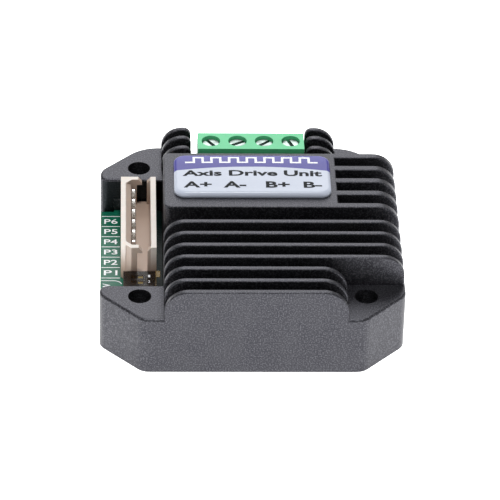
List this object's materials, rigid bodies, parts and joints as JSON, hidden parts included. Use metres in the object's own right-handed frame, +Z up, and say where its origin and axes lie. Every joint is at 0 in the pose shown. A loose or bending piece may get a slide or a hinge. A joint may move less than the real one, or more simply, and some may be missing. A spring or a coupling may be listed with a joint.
{
  "type": "stepper motor driver module",
  "caption": "Flange-mount stepper motor driver: square finned die-cast housing over a circuit board, with a pin header and slide switches in a side window and a screw terminal block behind.",
  "frame": {"origin": "centre of the square of four mounting holes, on the base plane that rests on the motor", "axes": "+Z up and away from the motor, through the fins; +Y towards the terminal block; +X towards the closed side, away from the signal header"},
  "size_m": [0.042, 0.0426, 0.0143],
  "materials": {
    "housing": "charcoal powder coat on die-cast aluminium, fine texture",
    "solder_mask": "green solder mask on glass-fibre board, glossy",
    "insulating_sheet": "milky polycarbonate sheet",
    "label": "printed label under clear domed resin",
    "header_nylon": "natural nylon, semi-gloss",
    "switch_plastic": "black moulded plastic",
    "tinned_metal": "tinned",
    "amber_film": "amber polyimide film",
    "terminal_plastic": "green moulded plastic, semi-gloss",
    "tinned_copper": "tinned copper",
    "solder": "solder",
    "screw_steel": "zinc plated",
    "chip_resin": "moulded black resin",
    "thermal_pad": "soft silicone pad",
    "optocoupler_resin": "moulded resin",
    "capacitor_base": "black plastic base",
    "capacitor_can": "bare aluminium can",
    "resistor_ceramic": "coated ceramic chip",
    "capacitor_ceramic": "fired ceramic chip",
    "signal_pin": "tinned brass",
    "slider_plastic": "off-white plastic",
    "terminal_screw": "nickel-plated steel",
    "terminal_clamp": "nickel-plated brass"
  },
  "bodies": {
    "module_body": {"heatsink_housing": "housing", "circuit_board": "solder_mask", "insulating_sheet": "insulating_sheet", "name_label": "label", "signal_header_housing": "header_nylon", "switch_body": "switch_plastic", "switch_terminals": "tinned_metal", "switch_cover_film": "amber_film", "terminal_block_housing": "terminal_plastic", "terminal_contacts": "tinned_copper", "solder_joints": "solder", "board_screws": "screw_steel", "driver_chip": "chip_resin", "thermal_pad": "thermal_pad", "microcontroller": "chip_resin", "voltage_regulator": "chip_resin", "optocouplers": "optocoupler_resin", "optocoupler_leads": "tinned_metal", "capacitor_bases": "capacitor_base", "bulk_capacitors": "capacitor_can", "sense_resistors": "resistor_ceramic", "chip_capacitors": "capacitor_ceramic", "signal_pin_1": "signal_pin", "signal_pin_2": "signal_pin", "signal_pin_3": "signal_pin", "signal_pin_4": "signal_pin", "signal_pin_5": "signal_pin", "signal_pin_6": "signal_pin"},
    "terminal_screw_1": {"terminal_screw_1": "terminal_screw"},
    "terminal_screw_2": {"terminal_screw_2": "terminal_screw"},
    "terminal_screw_3": {"terminal_screw_3": "terminal_screw"},
    "terminal_screw_4": {"terminal_screw_4": "terminal_screw"},
    "terminal_clamp_1": {"terminal_clamp_1": "terminal_clamp"},
    "terminal_clamp_2": {"terminal_clamp_2": "terminal_clamp"},
    "terminal_clamp_3": {"terminal_clamp_3": "terminal_clamp"},
    "terminal_clamp_4": {"terminal_clamp_4": "terminal_clamp"},
    "switch_slider_1": {"switch_slider_1": "slider_plastic"},
    "switch_slider_2": {"switch_slider_2": "slider_plastic"}
  },
  "joints": [
    {"name": "screw_1_turn", "type": "hinge", "parent": "module_body", "child": "terminal_screw_1", "pos_m": [-0.00519, 0.01735, 0.0105], "axis": [0, 0, -1], "range_deg": [0, 1440]},
    {"name": "clamp_1_lift", "type": "slide", "parent": "module_body", "child": "terminal_clamp_1", "axis": [0, 0, 1], "range_m": [0, 0.0016]},
    {"name": "screw_2_turn", "type": "hinge", "parent": "module_body", "child": "terminal_screw_2", "pos_m": [-0.00138, 0.01735, 0.0105], "axis": [0, 0, -1], "range_deg": [0, 1440]},
    {"name": "clamp_2_lift", "type": "slide", "parent": "module_body", "child": "terminal_clamp_2", "axis": [0, 0, 1], "range_m": [0, 0.0016]},
    {"name": "screw_3_turn", "type": "hinge", "parent": "module_body", "child": "terminal_screw_3", "pos_m": [0.00243, 0.01735, 0.0105], "axis": [0, 0, -1], "range_deg": [0, 1440]},
    {"name": "clamp_3_lift", "type": "slide", "parent": "module_body", "child": "terminal_clamp_3", "axis": [0, 0, 1], "range_m": [0, 0.0016]},
    {"name": "screw_4_turn", "type": "hinge", "parent": "module_body", "child": "terminal_screw_4", "pos_m": [0.00624, 0.01735, 0.0105], "axis": [0, 0, -1], "range_deg": [0, 1440]},
    {"name": "clamp_4_lift", "type": "slide", "parent": "module_body", "child": "terminal_clamp_4", "axis": [0, 0, 1], "range_m": [0, 0.0016]},
    {"name": "switch_1_slide", "type": "slide", "parent": "module_body", "child": "switch_slider_1", "axis": [-1, 0, 0], "range_m": [0, 0.0009]},
    {"name": "switch_2_slide", "type": "slide", "parent": "module_body", "child": "switch_slider_2", "axis": [-1, 0, 0], "range_m": [0, 0.0009]}
  ],
  "couplings": [
    {"joint": "screw_1_turn", "follows": "clamp_1_lift", "rad_per_m": 15708},
    {"joint": "screw_2_turn", "follows": "clamp_2_lift", "rad_per_m": 15708},
    {"joint": "screw_3_turn", "follows": "clamp_3_lift", "rad_per_m": 15708},
    {"joint": "screw_4_turn", "follows": "clamp_4_lift", "rad_per_m": 15708}
  ]
}
